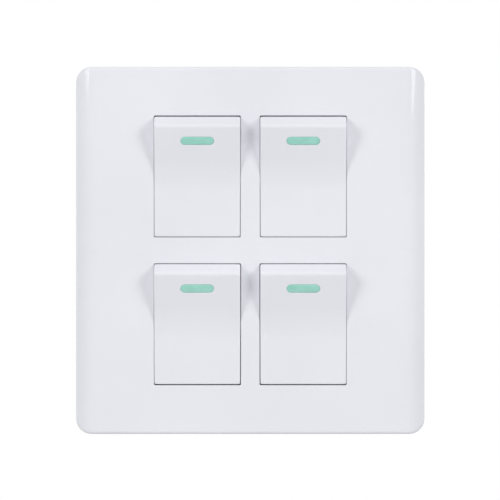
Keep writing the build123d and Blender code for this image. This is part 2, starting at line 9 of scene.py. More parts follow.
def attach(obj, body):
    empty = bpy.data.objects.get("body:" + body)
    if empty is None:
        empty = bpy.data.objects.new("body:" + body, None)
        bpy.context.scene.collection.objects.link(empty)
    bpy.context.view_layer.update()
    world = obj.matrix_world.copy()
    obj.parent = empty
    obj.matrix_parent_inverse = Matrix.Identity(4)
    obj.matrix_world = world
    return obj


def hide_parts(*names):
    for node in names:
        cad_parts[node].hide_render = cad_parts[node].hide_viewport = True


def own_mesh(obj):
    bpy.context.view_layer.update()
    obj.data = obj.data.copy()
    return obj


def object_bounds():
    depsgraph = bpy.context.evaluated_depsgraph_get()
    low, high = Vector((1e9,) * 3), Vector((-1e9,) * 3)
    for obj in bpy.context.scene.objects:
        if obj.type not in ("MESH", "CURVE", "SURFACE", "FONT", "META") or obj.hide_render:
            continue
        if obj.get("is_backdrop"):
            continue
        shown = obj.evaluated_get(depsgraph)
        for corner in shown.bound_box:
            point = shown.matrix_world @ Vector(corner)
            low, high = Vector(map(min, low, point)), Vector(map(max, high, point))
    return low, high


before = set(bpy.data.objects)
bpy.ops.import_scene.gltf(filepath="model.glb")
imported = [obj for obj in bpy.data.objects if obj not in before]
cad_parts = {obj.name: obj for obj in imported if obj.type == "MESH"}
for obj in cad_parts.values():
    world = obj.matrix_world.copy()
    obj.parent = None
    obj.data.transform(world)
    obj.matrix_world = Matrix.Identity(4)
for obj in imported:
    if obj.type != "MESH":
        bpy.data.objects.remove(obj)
CAD_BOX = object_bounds()

bl_info = {
    "name": "Four-gang light switch",
    "version": (1, 0, 0),
    "blender": (4, 5, 0),
    "location": "3D View > Sidebar > Light switch",
    "description": "Dresses the packed frame of a flush four-gang rocker switch",
    "category": "Object",
}

# The frame's place: X right, Z up, the wall is Y = 0 and the front looks along -Y. Sizes below are
# millimetres, and "d" is a distance in front of the wall, so Y = -d.
MM = 0.001
PITCH_X, PITCH_Z = 26.1, 36.3
GANG_PLACE = {
    "top_left": (-PITCH_X / 2, PITCH_Z / 2),
    "top_right": (PITCH_X / 2, PITCH_Z / 2),
    "bottom_left": (-PITCH_X / 2, -PITCH_Z / 2),
    "bottom_right": (PITCH_X / 2, -PITCH_Z / 2),
}

# Meshes: points closer than the weld become one, shorter edges than a share of it go, and edges
# sharper than an angle in degrees stay sharp
WELD, TINY_SHARE, SHARP_ANGLE = 0.002, 0.1, 35.0
LATHE_STEPS = 32

# Cover plate: the crown runs to CROWN_HALF, and the arc beyond it comes down to SIDE_FRONT a little
# outside the side, where the rounded outer edge has already taken over
PLATE_HALF_W, PLATE_HALF_H = 43.0, 45.2
PLATE_CORNER = 3.8
PLATE_FRONT = 9.0
PLATE_WALL = 1.6
CROWN_R = 2500.0
CROWN_HALF = 37.5
SIDE_FRONT, SIDE_OVER = 5.3, 0.4
RIM_EDGE = 0.15
NOTCH_HALF, NOTCH_DEPTH = 4.0, 1.2

# Windows: reach of their lips from the rocker's middle, first towards the plate's middle and then
# away from it, along z and along x; half sizes at the rear; radius of their corners
LIPS_Z = (14.93, 15.03)
UPPER_LIPS_X, LOWER_LIPS_X = (10.68, 10.67), (10.75, 10.66)
REAR_HALF_W, REAR_HALF_H = 10.825, 15.22
WINDOW_CORNER = 0.35

# Grid of the cover: steps along each side and round each corner of a loop, how far a sharp corner's
# points spread, and loops under the plate, over its front, round a window's lip and round the edge
SIDE_STEPS, CORNER_STEPS = 40, 6
CORNER_SPREAD = 1.5
UNDER_LOOPS, FRONT_LOOPS, LIP_LOOPS, EDGE_LOOPS = 14, 34, 7, 9

# Rocker, measured from its pivot: z up the face and h out of the wall
PIVOT_D = 5.6
ROCKER_HALF_W, ROCKER_HALF = 10.6, 14.8
ROCKER_WALL = 1.4
SKIRT_DRAFT = 0.25
SKIRT_BOTTOM_H, SKIRT_TOP_H = -3.0, -0.6
VALLEY, VALLEY_R = (0.4, 3.3), 26.0
CREST, CREST_R = (12.6, 7.2), 1.0
FACE_BOTTOM_H, FACE_TOP_H = 3.1, 3.45
TRUNNION_R, TRUNNION_LEN = 1.1, 1.22
TRUNNION_SUNK, TRUNNION_CHAMFER = 0.3, 0.2

# How far the inside of the shell follows the face, in shares of its wall: in along z and down at the
# crest, and down at the top
INNER_CREST, INNER_TOP = (0.5, 1.3), 0.5

# Indicator in the sloping part of the face, its slot, and the hole for its flange, which is a little
# deeper than the wall
INDICATOR_HALF_W, INDICATOR_HALF_H = 4.1, 1.025
INDICATOR_Z = 8.75
INDICATOR_SEAT, INDICATOR_PROUD = 0.9, 0.1
FLANGE_LIP, FLANGE_T = 0.5, 0.6
LENS_EDGE, LENS_BULGE = 0.22, 0.05
SLOT_GAP, SLOT_LIP, HOLE_DEPTH = 0.02, 0.1, ROCKER_WALL + 0.1
FACE_SLOPE = math.atan2(CREST[1] - VALLEY[1], CREST[0] - VALLEY[0])

# Grid of the rocker's face: zones of close lines at the valley, at the indicator and at the crest,
# one line between the first two, and how many lines each zone and the rest of the face have
VALLEY_ZONE = (-5, 5.5)
CREST_ZONE = (CREST[0] - 1.6, CREST[0] + 1.2)
HOLE_ZONE = (INDICATOR_Z - 1.75, INDICATOR_Z + 1.75)
HOLE_HALF_W, HOLE_MARGIN = 5.2, 0.4
LINE_BETWEEN = 6.2
ZONE_LINES, HOLE_LINES_Z, HOLE_LINES_X, LOWER_LINES, SIDE_LINES = 22, 9, 21, 12, 17
EDGE_LINES = 7

# Plunger's axis, which leans with the rocker at rest
REST_TILT = math.radians(5.0)
AXIS = np.array([0.0, math.cos(REST_TILT), math.sin(REST_TILT)])
BOSS_R, BOSS_ROOT, BOSS_END, BOSS_CHAMFER = 2.6, 2.4, 6.4, 0.2
BORE_R, BORE_TOP = 1.55, 1.2
PLUNGER_BACK = 3.6
SPRING_WIRE, SPRING_R, SPRING_TURNS = 0.26, 1.1, 5

# Screws
JOIN_X, JOIN_HEAD_D, JOIN_TIP_D = 13.05, -14.0, 5.6
JOIN_R, JOIN_HEAD_R, JOIN_HEAD_T = 1.35, 2.6, 1.9
TERMINAL_X, TERMINAL_Z = 7.35, 9.0
TERMINAL_HEAD_D, TERMINAL_TIP_D = -17.3, -15.0
TERMINAL_R, TERMINAL_HEAD_R, TERMINAL_HEAD_T = 1.5, 2.3, 2.0
DRIVE_W, DRIVE_DEPTH = 0.8, 0.9
HEAD_BEVEL = 0.3
JOIN_PITCH, TERMINAL_PITCH, THREAD_DEPTH, THREAD_SUNK = 0.9, 0.6, 0.16, 0.02

# The usual spread of Blender's noise
NOISE_LOW, NOISE_HIGH = 0.35, 0.65

# Stage: the floor's half size, height and sag in metres and its grid lines; the camera's sensor
# width and its place beside the plate's middle, in millimetres
FLOOR_HALF, FLOOR_Z, FLOOR_SAG, FLOOR_LINES = 3.0, -0.35, 0.02, 25
SENSOR, CAMERA_X, CAMERA_Z = 36.0, -0.07, 0.1


def quads(rows, cols, round_cols=False):
    """Four-cornered faces of a grid of points in row order, each row closed on itself where asked."""
    row, col = np.arange(rows - 1), np.arange(cols if round_cols else cols - 1)
    row, col = np.meshgrid(row, col, indexing="ij")
    next_row, next_col = row + 1, (col + 1) % cols
    corners = [row * cols + col, next_row * cols + col, next_row * cols + next_col, row * cols + next_col]
    return np.stack(corners, axis=-1).reshape(-1, 4)


def sheet_of(points, round_cols=False):
    """A surface from an array of points, rows by columns by three."""
    return points.reshape(-1, 3), quads(*points.shape[:2], round_cols)


def border(grid):
    """The outer points of a grid, once round."""
    return np.concatenate([grid[0, :-1], grid[:-1, -1], grid[-1, :0:-1], grid[:0:-1, 0]])


def piece(name, surfaces):
    """One closed mesh from several surfaces in millimetres, their shared edges welded."""
    start, points, faces = 0, [], []
    for surface_points, surface_faces in surfaces:
        points.append(surface_points)
        faces.append(surface_faces + start)
        start += len(surface_points)
    mesh = bpy.data.meshes.new(name)
    mesh.from_pydata((np.concatenate(points) * MM).tolist(), [], np.concatenate(faces).tolist())
    shell = bmesh.new()
    shell.from_mesh(mesh)
    bmesh.ops.remove_doubles(shell, verts=shell.verts, dist=WELD * MM)
    bmesh.ops.dissolve_degenerate(shell, edges=shell.edges, dist=WELD * MM * TINY_SHARE)
    bmesh.ops.recalc_face_normals(shell, faces=shell.faces)
    shell.to_mesh(mesh)
    shell.free()
    mesh.shade_smooth()
    mesh.set_sharp_from_angle(angle=math.radians(SHARP_ANGLE))
    made = bpy.data.objects.new(name, mesh)
    bpy.context.scene.collection.objects.link(made)
    return made


def rounded_loop(low, high, radii):
    """Once round a rectangle: quarter arcs at its corners, lower right first, and straight runs. The
    points of a sharp corner are spread over the two sides next to it, with the middle one on it."""
    turns = np.radians(np.linspace(0, 90, CORNER_STEPS + 1))
    signs = ((1, -1), (1, 1), (-1, 1), (-1, -1))
    arcs = []
    for k, ((sign_x, sign_z), radius) in enumerate(zip(signs, radii)):
        corner = np.array([high[0] if sign_x > 0 else low[0], high[1] if sign_z > 0 else low[1]])
        centre = corner - radius * np.array([sign_x, sign_z])
        angle = turns + math.radians(90 * (k - 1))
        arc = centre + radius * np.stack([np.cos(angle), np.sin(angle)], axis=-1)
        if radius == 0:
            along = np.linspace(-CORNER_SPREAD, CORNER_SPREAD, CORNER_STEPS + 1)[:, None]
            arriving, leaving = ((1, 0), (0, 1), (-1, 0), (0, -1), (1, 0))[k:k + 2]
            arc = corner + np.minimum(along, 0) * arriving + np.maximum(along, 0) * leaving
        arcs.append(arc)
    share = np.linspace(0, 1, SIDE_STEPS + 1)[1:-1, None]
    runs = [arcs[k][-1] * (1 - share) + arcs[(k + 1) % 4][0] * share for k in range(4)]
    return np.concatenate([part for pair in zip(arcs, runs) for part in pair])


def rolled(distance, radius):
    """How far a rounded edge has dropped, at a distance inside the outline: a quarter circle."""
    reach = np.clip(radius - distance, 0, radius)
    return radius - np.sqrt(radius ** 2 - reach ** 2)


def lathe(profile, origin, axis):
    """A profile of (radius, reach) pairs carried round an axis; its two ends lie on that axis."""
    axis = np.asarray(axis, float) / np.linalg.norm(axis)
    # The first direction square to the axis comes from X, or from Z where the axis is nearly X
    side = np.cross(axis, [1.0, 0.0, 0.0] if abs(axis[0]) < 0.9 else [0.0, 0.0, 1.0])
    side /= np.linalg.norm(side)
    other = np.cross(axis, side)
    angle = np.linspace(0, 2 * math.pi, LATHE_STEPS, endpoint=False)[:, None]
    around = np.cos(angle) * side + np.sin(angle) * other
    radius, reach = np.asarray(profile, float).T[..., None, None]
    return sheet_of(radius * around + reach * axis + np.asarray(origin), round_cols=True)


def plate_front(x, inset=0.0):
    """Height of the cover's front: a very shallow arc across the middle, and from its end a tighter
    arc that starts in the same direction and comes down to the side. The inset front runs under it."""
    end = PLATE_HALF_W - inset if inset else PLATE_HALF_W + SIDE_OVER
    x = np.minimum(np.abs(x), end)
    sag = CROWN_R - np.sqrt(CROWN_R ** 2 - np.minimum(x, CROWN_HALF) ** 2)
    middle = PLATE_FRONT - inset - sag
    lean = math.asin(CROWN_HALF / CROWN_R)
    end_sag = CROWN_R - math.sqrt(CROWN_R ** 2 - CROWN_HALF ** 2)
    start = np.array([CROWN_HALF, PLATE_FRONT - inset - end_sag])
    inward = np.array([-math.sin(lean), -math.cos(lean)])
    chord = np.array([end, SIDE_FRONT]) - start
    radius = chord @ chord / (2 * chord @ inward)
    centre = start + radius * inward
    side = centre[1] + np.sqrt(np.maximum(radius ** 2 - (x - centre[0]) ** 2, 0))
    return np.where(x <= CROWN_HALF, middle, side)


def cover_quarter(window_edge, outer_edge, lower):
    """The upper right quarter of the cover. One surface runs in rings from the inner wall's top under
    the plate to the window, up through the window's rounded edge and out over the front. The other
    carries a profile of rounded edge, wall, rim and inner wall round the outline. The lower quarters
    are the same shape turned over, with their own lips and the notch in the rim."""
    centre = np.array([PITCH_X / 2, PITCH_Z / 2])
    lips_x = LOWER_LIPS_X if lower else UPPER_LIPS_X

    def window_loop(grow):
        low = centre - (lips_x[0] + grow, LIPS_Z[0] + grow)
        high = centre + (lips_x[1] + grow, LIPS_Z[1] + grow)
        return rounded_loop(low, high, [WINDOW_CORNER + grow] * 4)

    def outer_loop(inset):
        high = (PLATE_HALF_W - inset, PLATE_HALF_H - inset)
        return rounded_loop((0, 0), high, (0, PLATE_CORNER - inset, 0, 0))

    def band(inner, outer, loops, inset):
        share = np.linspace(0, 1, loops)[:, None, None]
        flat = inner * (1 - share) + outer * share
        return np.stack([flat[..., 0], -plate_front(flat[..., 0], inset), flat[..., 1]], axis=-1)

    rear_half = np.array([REAR_HALF_W, REAR_HALF_H])
    rear = rounded_loop(centre - rear_half, centre + rear_half, [WINDOW_CORNER] * 4)
    under = band(rear, outer_loop(PLATE_WALL), UNDER_LOOPS, PLATE_WALL)[::-1]
    front = band(window_loop(window_edge), outer_loop(outer_edge), FRONT_LOOPS, 0)
    rounding = []
    for angle in np.linspace(math.pi / 2, 0, LIP_LOOPS)[:-1]:
        flat = window_loop(window_edge * (1 - math.sin(angle)))
        d = plate_front(flat[:, 0]) - window_edge * (1 - math.cos(angle))
        rounding.append(np.stack([flat[:, 0], -d, flat[:, 1]], axis=-1))
    rings = np.concatenate([under, rounding, front])

    # The outline runs from the middle of the right side over the corner to the middle of the top, and
    # the edge's arc starts at the front's own slope there
    first = CORNER_STEPS // 2
    last = first + 2 * (CORNER_STEPS + SIDE_STEPS) + 1
    outline = outer_loop(0)[first:last]
    inward = outer_loop(1)[first:last] - outline
    inset_x = outline[:, 0] + outer_edge * inward[:, 0]
    step = 0.01
    slope = (plate_front(inset_x) - plate_front(inset_x - step * inward[:, 0])) / step
    lean = np.arctan(slope)
    radius = outer_edge / (1 - np.sin(lean))
    bend = lean + (math.pi / 2 - lean) * np.linspace(0, 1, EDGE_LOOPS)[:, None]
    insets = outer_edge - radius * (np.sin(bend) - np.sin(lean))
    heights = plate_front(inset_x) - radius * (np.cos(lean) - np.cos(bend))
    rim = np.where(lower & (outline[:, 0] < NOTCH_HALF), NOTCH_DEPTH, 0.0)
    wall = PLATE_WALL * np.ones_like(rim)
    inner_top = plate_front(outline[:, 0] + PLATE_WALL * inward[:, 0], PLATE_WALL)
    insets = np.vstack([insets, 0 * rim, 0 * rim + RIM_EDGE, wall - RIM_EDGE, wall, wall])
    heights = np.vstack([heights, rim + RIM_EDGE, rim, rim, rim + RIM_EDGE, inner_top])
    flat = outline + insets[..., None] * inward
    skirt = np.stack([flat[..., 0], -heights, flat[..., 1]], axis=-1)
    return [sheet_of(rings, round_cols=True), sheet_of(skirt)]


def rocker_face(z, inset=0.0):
    """Height of the face along z: three straight runs whose two corners are circular arcs, a wide
    one in the valley and a small one at the crest. The inset face runs under it inside the shell."""
    half = ROCKER_HALF - inset
    knots = np.array([
        (-half, FACE_BOTTOM_H - inset),
        (VALLEY[0], VALLEY[1] - inset),
        (CREST[0] - inset * INNER_CREST[0], CREST[1] - inset * INNER_CREST[1]),
        (half, FACE_TOP_H - inset * INNER_TOP),
    ])
    height = np.interp(z, knots[:, 0], knots[:, 1])
    run = np.diff(knots, axis=0)
    lean = np.arctan2(run[:, 1], run[:, 0])
    for k, radius in ((1, VALLEY_R), (2, CREST_R)):
        before, after = lean[k - 1], lean[k]
        way = math.copysign(1, after - before)
        tangent = radius * math.tan(abs(after - before) / 2)
        low = knots[k, 0] - tangent * math.cos(before)
        high = knots[k, 0] + tangent * math.cos(after)
        centre_z = low - way * radius * math.sin(before)
        centre_h = knots[k, 1] - tangent * math.sin(before) + way * radius * math.cos(before)
        arc = centre_h - way * np.sqrt(np.maximum(radius ** 2 - (z - centre_z) ** 2, 0))
        height = np.where((z > low) & (z < high), arc, height)
    return height


def grid_lines(half, edge, middle):
    """Places of the grid lines across a face: close together where the edge turns, then as given."""
    turn = half - edge * (1 - np.sin(np.linspace(math.pi / 2, 0, EDGE_LINES)))
    lines = np.concatenate([-turn, middle[(middle > -half + edge) & (middle < half - edge)], turn])
    return np.unique(np.round(lines, 4))


def face_grid(half_w, half_h, edge, corner, lines_x, lines_z, inset):
    """The face over a rectangle with small rounded corners, its edges rolled over. At a corner the
    square of grid points is pressed into a quarter disc."""
    x, z = np.meshgrid(lines_x, lines_z)
    a = np.maximum((np.abs(x) - (half_w - corner)) / corner, 0)
    b = np.maximum((np.abs(z) - (half_h - corner)) / corner, 0)
    both = (a > 0) & (b > 0)
    round_a = np.where(both, a * np.sqrt(1 - b ** 2 / 2), a)
    round_b = np.where(both, b * np.sqrt(1 - a ** 2 / 2), b)
    x = np.where(a > 0, np.sign(x) * (half_w - corner + corner * round_a), x)
    z = np.where(b > 0, np.sign(z) * (half_h - corner + corner * round_b), z)
    inside = corner * (1 - np.hypot(round_a, round_b))
    return np.stack([x, rocker_face(z, inset) - rolled(inside, edge), z], axis=-1)


def to_frame(points, place):
    """Points of a rocker, (x, h, z) from its pivot, at their place in the part's frame."""
    x, z = place
    return np.stack([points[..., 0] + x, -PIVOT_D - points[..., 1], points[..., 2] + z], axis=-1)


def stadium(x, u, half_w, half_h):
    """The point of a slot's outline nearest to each given point: two half circles and two lines. A
    point on the slot's middle line has no nearest one and stays there."""
    core = np.clip(x, -(half_w - half_h), half_w - half_h)
    length = np.maximum(np.hypot(x - core, u), 1e-9)
    return core + (x - core) / length * half_h, u / length * half_h


def face_point(x, u, depth):
    """A point of the sloping face's own plane, u up the slope from the indicator's middle."""
    z = INDICATOR_Z + u * math.cos(FACE_SLOPE) + depth * math.sin(FACE_SLOPE)
    plane = VALLEY[1] + (INDICATOR_Z - VALLEY[0]) * math.tan(FACE_SLOPE)
    h = plane + u * math.sin(FACE_SLOPE) - depth * math.cos(FACE_SLOPE)
    return np.stack([x, h, z], axis=-1)


def rocker_surfaces(edge, corner):
    """The shell: outer face, skirt and inner face as grids that share their borders, and the tube
    of the indicator's window, which joins a hole in both faces. Boss and trunnions are turned."""
    lower = np.linspace(-ROCKER_HALF, VALLEY_ZONE[0], LOWER_LINES)
    valley, crest = (np.linspace(*zone, ZONE_LINES) for zone in (VALLEY_ZONE, CREST_ZONE))
    hole_z = np.linspace(*HOLE_ZONE, HOLE_LINES_Z)
    middle_z = np.concatenate([lower, valley, [LINE_BETWEEN], hole_z, crest])
    side_x = np.linspace(-ROCKER_HALF_W, ROCKER_HALF_W, SIDE_LINES)
    side_x = side_x[np.abs(side_x) > HOLE_HALF_W + HOLE_MARGIN]
    middle_x = np.concatenate([side_x, np.linspace(-HOLE_HALF_W, HOLE_HALF_W, HOLE_LINES_X)])
    lines_x = grid_lines(ROCKER_HALF_W, edge, middle_x)
    lines_z = grid_lines(ROCKER_HALF, edge, middle_z)
    outer = face_grid(ROCKER_HALF_W, ROCKER_HALF, edge, corner, lines_x, lines_z, 0.0)

    # The inner face has the same lines, drawn in by the wall
    scale_x = (ROCKER_HALF_W - ROCKER_WALL) / ROCKER_HALF_W
    scale_z = (ROCKER_HALF - ROCKER_WALL) / ROCKER_HALF
    inner_half = (ROCKER_HALF_W - ROCKER_WALL, ROCKER_HALF - ROCKER_WALL)
    inner = face_grid(*inner_half, 0.0, corner, lines_x * scale_x, lines_z * scale_z, ROCKER_WALL)

    # Skirt: outer border, rear edge outside and inside, inner border
    top, bottom = border(outer), border(inner)
    share = (top[:, 2] + ROCKER_HALF) / (2 * ROCKER_HALF)
    rear_h = SKIRT_BOTTOM_H + (SKIRT_TOP_H - SKIRT_BOTTOM_H) * share
    draft = 1 - SKIRT_DRAFT / ROCKER_HALF
    rear_outside = np.stack([top[:, 0], rear_h, top[:, 2] * draft], axis=-1)
    rear_inside = np.stack([bottom[:, 0], rear_h, bottom[:, 2]], axis=-1)
    skirt = np.stack([top, (top + rear_outside) / 2, rear_outside, rear_inside, bottom])

    # Window of the indicator: from the hole's square border in to the slot's small rounded lip, down
    # its wall, out over the seat and round the flange, and back to the hole in the inner face
    nudge = 1e-3
    col = np.searchsorted(lines_x, np.array([-HOLE_HALF_W, HOLE_HALF_W]) - nudge)
    row = np.searchsorted(lines_z, np.array(HOLE_ZONE) - nudge)
    hole = (slice(row[0], row[1] + 1), slice(col[0], col[1] + 1))
    outer_hole, inner_hole = border(outer[hole]), border(inner[hole])
    x = outer_hole[:, 0]
    u = (outer_hole[:, 2] - INDICATOR_Z) / math.cos(FACE_SLOPE)
    slot_w, slot_h = INDICATOR_HALF_W + SLOT_GAP, INDICATOR_HALF_H + SLOT_GAP
    slot_x, slot_u = stadium(x, u, slot_w, slot_h)
    rows = []
    for share in (0.2, 0.4, 0.6, 0.8):
        rows.append(face_point(x * (1 - share) + slot_x * share, u * (1 - share) + slot_u * share, 0.0))
    for angle in np.radians([0, 30, 60, 90]):
        grow = SLOT_LIP * (1 - math.sin(angle))
        loop_x, loop_u = stadium(x, u, slot_w + grow, slot_h + grow)
        rows.append(face_point(loop_x, loop_u, SLOT_LIP * (1 - math.cos(angle))))
    rows.append(face_point(slot_x, slot_u, INDICATOR_SEAT))
    flange_x = x / np.abs(x).max() * (INDICATOR_HALF_W + FLANGE_LIP)
    flange_u = u / np.abs(u).max() * (INDICATOR_HALF_H + FLANGE_LIP)
    rows.append(face_point(flange_x, flange_u, INDICATOR_SEAT))
    rows.append(face_point(flange_x, flange_u, HOLE_DEPTH))
    window = np.stack([outer_hole] + rows + [inner_hole])

    surfaces = []
    for grid in (outer, inner):
        keep = np.ones((grid.shape[0] - 1, grid.shape[1] - 1), bool)
        keep[row[0]:row[1], col[0]:col[1]] = False
        surfaces.append((grid.reshape(-1, 3), quads(*grid.shape[:2])[keep.ravel()]))
    surfaces.append(sheet_of(skirt, round_cols=True))
    surfaces.append(sheet_of(window, round_cols=True))
    return surfaces


def rocker_details():
    """Boss for the spring and plunger, and the two trunnions, turned about their axes."""
    boss_axis = (0, -AXIS[1], AXIS[2])
    boss = [(0, -BOSS_ROOT), (BOSS_R, -BOSS_ROOT), (BOSS_R, BOSS_END - BOSS_CHAMFER)]
    boss += [(BOSS_R - BOSS_CHAMFER, BOSS_END), (BORE_R, BOSS_END), (BORE_R, -BORE_TOP), (0, -BORE_TOP)]
    start, end = ROCKER_HALF_W - TRUNNION_SUNK, TRUNNION_LEN + TRUNNION_SUNK
    pin = [(0, 0), (TRUNNION_R, 0), (TRUNNION_R, end - TRUNNION_CHAMFER)]
    pin += [(TRUNNION_R - TRUNNION_CHAMFER, end), (0, end)]
    return [
        lathe(boss, (0, 0, 0), boss_axis),
        lathe(pin, (start, 0, 0), (1, 0, 0)),
        lathe(pin, (-start, 0, 0), (-1, 0, 0)),
    ]


def indicator_surface():
    """A pill-shaped lens: rings of the slot's outline from the middle of its front over a rounded
    edge and down its wall, then out and round the flange that holds it from behind."""
    # An ellipse outside the slot, whose points are carried to the loops' outlines; three times as
    # large and clipped, it's the flange's rectangle
    angle = np.linspace(0, 2 * math.pi, 64, endpoint=False)
    x, u = 6 * np.cos(angle), 3.6 * np.sin(angle)
    rows = []
    rim = LENS_BULGE - INDICATOR_PROUD
    loop_x, loop_u = stadium(x, u, INDICATOR_HALF_W - LENS_EDGE, INDICATOR_HALF_H - LENS_EDGE)
    for share in np.linspace(0, 1, 7)[:-1]:
        rows.append(face_point(loop_x * share, loop_u * share, rim - LENS_BULGE * (1 - share ** 2)))
    for turn in np.radians(np.linspace(0, 90, 6)):
        inset = LENS_EDGE * (1 - math.sin(turn))
        loop_x, loop_u = stadium(x, u, INDICATOR_HALF_W - inset, INDICATOR_HALF_H - inset)
        rows.append(face_point(loop_x, loop_u, rim + LENS_EDGE * (1 - math.cos(turn))))
    rows.append(face_point(loop_x, loop_u, INDICATOR_SEAT))
    flange_w, flange_h = INDICATOR_HALF_W + FLANGE_LIP, INDICATOR_HALF_H + FLANGE_LIP
    out_x, out_u = np.clip(x * 3, -flange_w, flange_w), np.clip(u * 3, -flange_h, flange_h)
    rows.append(face_point(out_x, out_u, INDICATOR_SEAT))
    rows.append(face_point(out_x, out_u, INDICATOR_SEAT + FLANGE_T))
    rows.append(face_point(0 * x, 0 * u, INDICATOR_SEAT + FLANGE_T))
    return sheet_of(np.stack(rows), round_cols=True)


def spring_surface():
    """A round wire carried along a helix whose last turns lie closed at both ends."""
    start, length = -BORE_TOP + SPRING_WIRE, BORE_TOP + PLUNGER_BACK - 2 * SPRING_WIRE
    t = np.linspace(0, 1, SPRING_TURNS * 28)[:, None]
    turn = 2 * math.pi * SPRING_TURNS * t
    # Part of the rise is even and part is a half wave, which is flat at both ends
    half_wave = 0.5 - 0.5 * np.cos(math.pi * t)
    rise = (0.55 * t + 0.45 * half_wave) * length + start
    along, side = np.array([0, -AXIS[1], AXIS[2]]), np.array([1.0, 0, 0])
    other = np.cross(along, side)
    outward = np.cos(turn) * side + np.sin(turn) * other
    path = SPRING_R * outward + rise * along
    angle = np.linspace(0, 2 * math.pi, 10, endpoint=False)[None, :, None]
    wire = np.cos(angle) * outward[:, None] + np.sin(angle) * along
    body = path[:, None] + SPRING_WIRE * wire
    ends = [np.repeat(path[k][None, None], body.shape[1], axis=1) for k in (0, -1)]
    return sheet_of(np.concatenate([ends[0], body, ends[1]]), round_cols=True)


def centred(ring):
    """A ring drawn together to its middle, at the same reach."""
    return ring * (0, 0, 1)


def screw_head(head_r, head_t, shank_r):
    """Slotted cheese head: rings round the middle whose columns crowd at the slot's two edges, so
    that the slot's walls stand upright. Reach counts from under the head towards its top."""
    half, floor = DRIVE_W / 2, head_t - DRIVE_DEPTH
    rings = [half, half * 1.6, head_r * 0.7, head_r - HEAD_BEVEL, head_r, head_r, shank_r]
    tops = [head_t, head_t, head_t, head_t, head_t - HEAD_BEVEL, 0, 0]
    inside, outside = np.linspace(0, 1, 4), np.linspace(0, 1, 8)
    rows = []
    for radius, top in zip(rings, tops):
        edge = math.asin(min(half / radius, 1))
        near, far = inside * edge, edge + outside * (math.pi / 2 - edge)
        quarter = np.concatenate([near, far])
        deep = np.concatenate([0 * near + 1, 0 * far])
        half_turn = np.concatenate([quarter, math.pi - quarter[::-1]])
        angle = np.concatenate([half_turn, half_turn + math.pi])
        in_slot = np.tile(np.concatenate([deep, deep[::-1]]), 2) > 0
        reach = np.where(in_slot, min(top, floor), top)
        rows.append(np.stack([radius * np.cos(angle), radius * np.sin(angle), reach], axis=-1))
    ring = rows[0].copy()
    ring[:, 2] = floor
    return np.stack([centred(ring), ring] + rows + [centred(rows[-1])])


def thread_surface(shank_r, length, pitch):
    """A screw thread: a ridge whose height follows the angle and the reach together, fading out at
    both ends. It is closed under the head, a little way into it, and over the tip."""
    around, along = 28, max(int(length / pitch * 6), 8)
    angle = np.linspace(0, 2 * math.pi, around, endpoint=False)
    reach = np.linspace(0, length, along)[:, None]
    phase = (reach / pitch - angle / (2 * math.pi)) % 1
    ridge = 1 - np.abs(2 * phase - 1)
    fade = np.clip(np.minimum(reach, length - reach) / pitch, 0, 1)
    radius = shank_r - THREAD_DEPTH * fade * (1 - ridge)
    body = np.stack([radius * np.cos(angle), radius * np.sin(angle), -reach + 0 * angle], axis=-1)
    tip = body[-1:] * (0.6, 0.6, 1) - (0, 0, 0.4 * THREAD_DEPTH)
    return np.concatenate([centred(body[:1]), body, tip, centred(tip)]) + (0, 0, THREAD_SUNK)


def screw(place, head_d, head_r, head_t, shank_r, tip_d, turn, pitch):
    """One screw at its place on the rear, its head towards the inside of the wall box."""
    spin = np.array([[math.cos(turn), -math.sin(turn)], [math.sin(turn), math.cos(turn)]])
    surfaces = []
    for local in (screw_head(head_r, head_t, shank_r), thread_surface(shank_r, tip_d - head_d, pitch)):
        flat = local[..., :2] @ spin.T + place
        points = np.stack([flat[..., 0], local[..., 2] - head_d, flat[..., 1]], axis=-1)
        surfaces.append(sheet_of(points, round_cols=True))
    return surfaces


def linear(code):
    """An sRGB hex colour as the linear values that shaders take."""
    parts = [int(code[i:i + 2], 16) / 255 for i in (1, 3, 5)]
    return [p / 12.92 if p <= 0.04045 else ((p + 0.055) / 1.055) ** 2.4 for p in parts] + [1.0]


def add_node(tree, kind, settings=None, inputs=None):
    """One node with its settings; an input given as a socket is linked, any other is set."""
    made = tree.nodes.new(kind)
    for name, value in (settings or {}).items():
        setattr(made, name, value)
    for name, value in (inputs or {}).items():
        if isinstance(value, bpy.types.NodeSocket):
            tree.links.new(value, made.inputs[name])
        else:
            made.inputs[name].default_value = value
    return made


def new_material(name):
    """An empty node material and its tree."""
    made = bpy.data.materials.new(name)
    made.use_nodes = True
    made.node_tree.nodes.clear()
    return made, made.node_tree


def finish_material(tree, shader):
    """Links a shader to the material's output."""
    add_node(tree, "ShaderNodeOutputMaterial", inputs={"Surface": shader.outputs[0]})


def speckle(tree, size_mm, detail=3.0, stretch=(1, 1, 1)):
    """Noise over Object coordinates whose blobs are about size_mm across."""
    place = add_node(tree, "ShaderNodeTexCoord").outputs["Object"]
    mapping = add_node(tree, "ShaderNodeMapping", inputs={"Vector": place, "Scale": stretch})
    scale = 1 / (size_mm * MM)
    inputs = {"Vector": mapping.outputs[0], "Scale": scale, "Detail": detail}
    return add_node(tree, "ShaderNodeTexNoise", inputs=inputs).outputs["Fac"]


def ranged(tree, value, low, high):
    """The noise stretched from its usual spread to a range of its own."""
    inputs = {"Value": value, "From Min": NOISE_LOW, "From Max": NOISE_HIGH, "To Min": low, "To Max": high}
    return add_node(tree, "ShaderNodeMapRange", inputs=inputs).outputs[0]


def between(tree, value, low, high):
    """A colour between two hex colours. A Mix node's sockets for colours are the inputs 6 and 7 and
    the output 2."""
    inputs = {"Factor": value, 6: linear(low), 7: linear(high)}
    return add_node(tree, "ShaderNodeMix", {"data_type": "RGBA"}, inputs).outputs[2]


